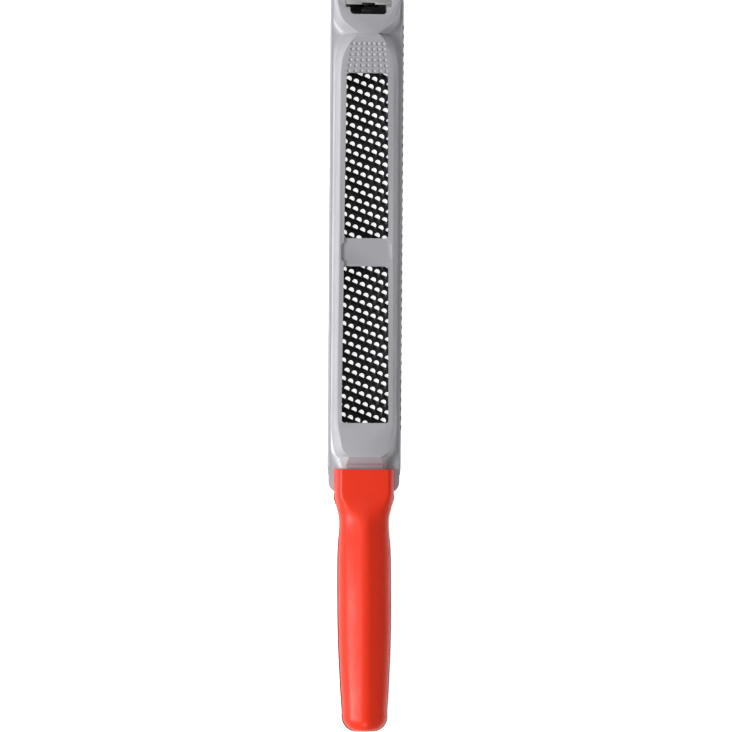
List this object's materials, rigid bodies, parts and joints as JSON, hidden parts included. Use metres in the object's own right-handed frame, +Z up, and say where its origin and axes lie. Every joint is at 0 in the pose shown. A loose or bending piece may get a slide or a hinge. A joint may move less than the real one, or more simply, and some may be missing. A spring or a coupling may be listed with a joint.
{
  "type": "wood rasp",
  "caption": "Two-handed wood rasp: thin perforated steel blade with turned-up edges tensioned under an open cast frame by a nose screw and slider, with a moulded handle.",
  "frame": {"origin": "under the middle of the bounding box, on the plane of the tooth tips", "axes": "+Y along the tool towards the nose, +X to the user's right, +Z up away from the work"},
  "size_m": [0.0404, 0.406, 0.0345],
  "materials": {
    "painted_casting": "satin grey paint on cast alloy",
    "blade_steel": "dark hardened and tempered steel",
    "plated_steel": "zinc plated",
    "spring_steel": "oiled spring steel",
    "slider_alloy": "tumbled zinc alloy with thin grey paint",
    "red_plastic": "glossy moulded plastic",
    "black_plastic": "fine grained moulded plastic",
    "black_rubber": "matt soft grip"
  },
  "bodies": {
    "frame_body": {"frame": "painted_casting", "anchor_pin": "plated_steel", "thrust_washer": "plated_steel", "handle_cover": "red_plastic", "handle_base": "black_plastic", "grip_pad": "black_rubber", "handle_screw_front": "plated_steel", "handle_screw_middle": "plated_steel", "handle_screw_rear": "plated_steel", "washer_front": "plated_steel", "washer_middle": "plated_steel", "nut_front": "plated_steel", "nut_middle": "plated_steel"},
    "screw_body": {"tension_screw": "plated_steel", "retaining_clip": "spring_steel"},
    "slider_body": {"tension_slider": "slider_alloy", "hook": "spring_steel", "tension_nut": "plated_steel"},
    "blade_body": {"blade": "blade_steel"}
  },
  "joints": [
    {"name": "screw_turn", "type": "hinge", "parent": "frame_body", "child": "screw_body", "pos_m": [0, 0.19995, 0.008], "axis": [0, 1, 0], "range_deg": [0, 630]},
    {"name": "slider_slide", "type": "slide", "parent": "frame_body", "child": "slider_body", "axis": [0, -1, 0], "range_m": [0, 0.0014]},
    {"name": "blade_lift_off", "type": "slide", "parent": "frame_body", "child": "blade_body", "axis": [0, 0, -1], "range_m": [0, 0.03]}
  ],
  "couplings": [
    {"joint": "screw_turn", "follows": "slider_slide", "rad_per_m": 7854}
  ]
}
